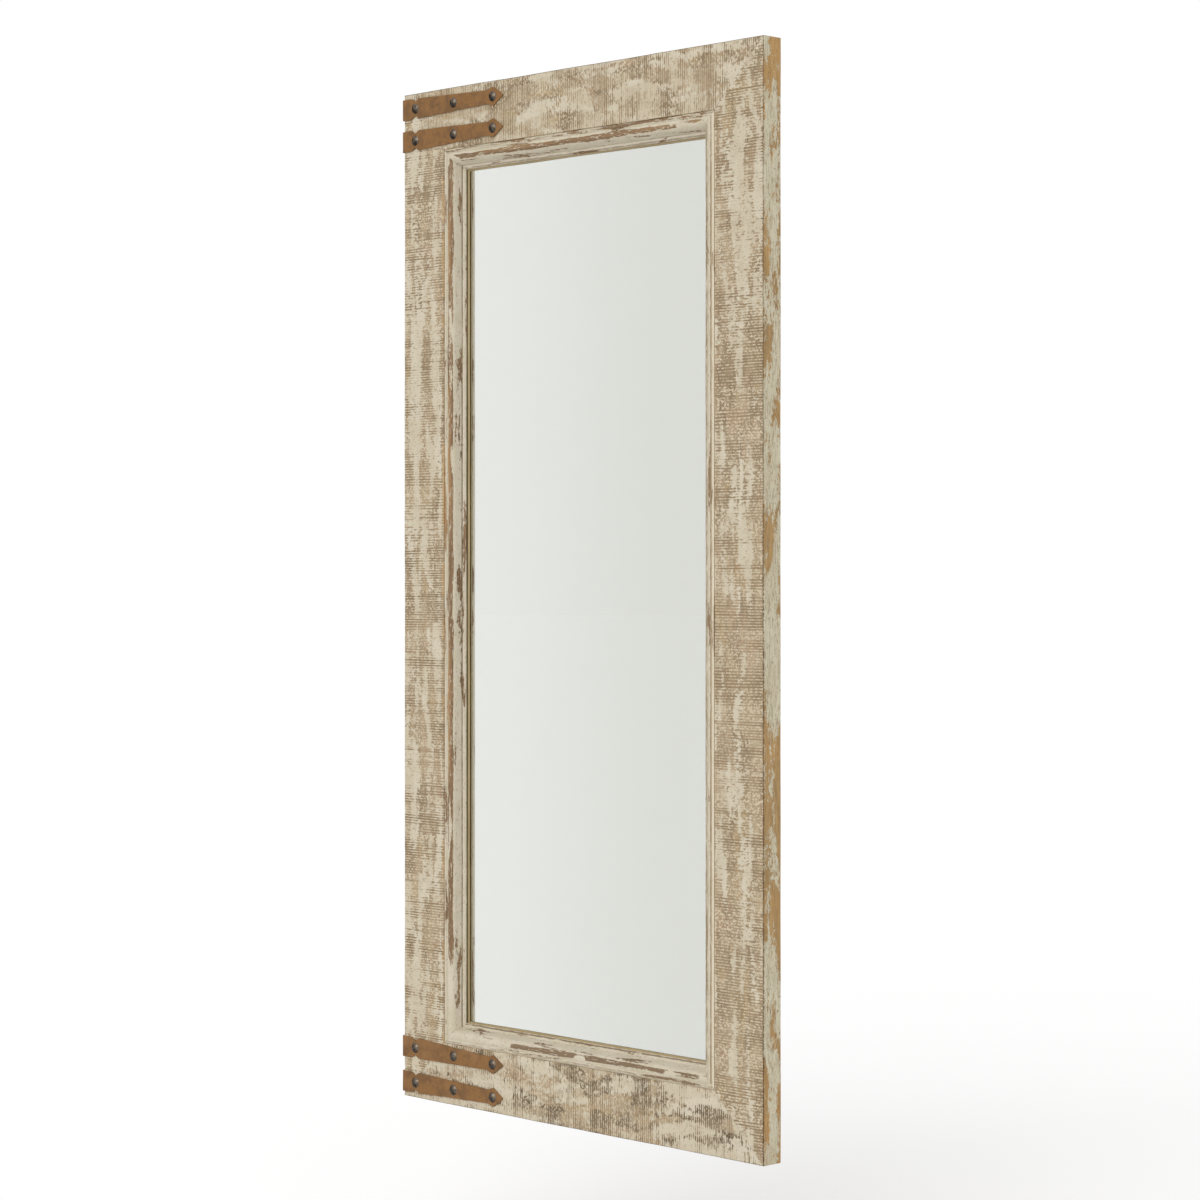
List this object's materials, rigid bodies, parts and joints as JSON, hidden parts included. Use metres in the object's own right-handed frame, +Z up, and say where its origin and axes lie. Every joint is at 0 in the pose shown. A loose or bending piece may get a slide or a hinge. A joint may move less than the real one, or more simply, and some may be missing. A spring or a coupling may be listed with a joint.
{
  "type": "wall mirror",
  "caption": "Tall wall mirror in a mitred, rough-sawn frame with distressed cream paint, an inner moulding and folded iron straps on the left corners, hung on two rings.",
  "frame": {"origin": "on the wall plane, behind the middle of the frame's outline; the four bumpers end on this plane", "axes": "+Z up along the long side, +X to the right as seen from the front, the mirror faces -Y and the wall is at +Y"},
  "size_m": [0.8824, 0.056, 1.8],
  "materials": {
    "sawn_paint": "rough-sawn, distressed cream paint over brown timber",
    "side_paint": "smooth, flaking cream paint over ochre timber",
    "moulding_paint": "smooth cream paint, worn through along its crests",
    "pine": "bare planed pine",
    "silvered_glass": "clear glass, silvered behind",
    "card": "matt card",
    "hardboard": "pressed board, matt",
    "rusty_iron": "matt brown rust",
    "dark_iron": "dark hammered iron, semi-gloss",
    "zinc_steel": "dull zinc",
    "ring_steel": "dull zinc",
    "bumper_rubber": "matt dark rubber"
  },
  "bodies": {
    "frame": {"left_face_board": "sawn_paint", "top_face_board": "sawn_paint", "right_face_board": "sawn_paint", "bottom_face_board": "sawn_paint", "left_side_return": "side_paint", "top_side_return": "side_paint", "right_side_return": "side_paint", "bottom_side_return": "side_paint", "left_moulding": "moulding_paint", "top_moulding": "moulding_paint", "right_moulding": "moulding_paint", "bottom_moulding": "moulding_paint", "left_back_stile": "pine", "right_back_stile": "pine", "top_back_rail": "pine", "bottom_back_rail": "pine", "mirror_glass": "silvered_glass", "backing_pad": "card", "back_panel": "hardboard", "panel_screws": "zinc_steel", "top_outer_strap": "rusty_iron", "top_inner_strap": "rusty_iron", "bottom_inner_strap": "rusty_iron", "bottom_outer_strap": "rusty_iron", "strap_nails": "dark_iron", "left_hanger_plate": "zinc_steel", "right_hanger_plate": "zinc_steel", "hanger_screws": "zinc_steel", "wall_bumpers": "bumper_rubber"},
    "left_ring": {"left_hanging_ring": "ring_steel"},
    "right_ring": {"right_hanging_ring": "ring_steel"}
  },
  "joints": [
    {"name": "left_ring_swing", "type": "hinge", "parent": "frame", "child": "left_ring", "pos_m": [-0.3775, -0.00352, 0.6], "axis": [1, 0, 0], "range_deg": [0, 180]},
    {"name": "right_ring_swing", "type": "hinge", "parent": "frame", "child": "right_ring", "pos_m": [0.3775, -0.00352, 0.6], "axis": [1, 0, 0], "range_deg": [0, 180]}
  ]
}
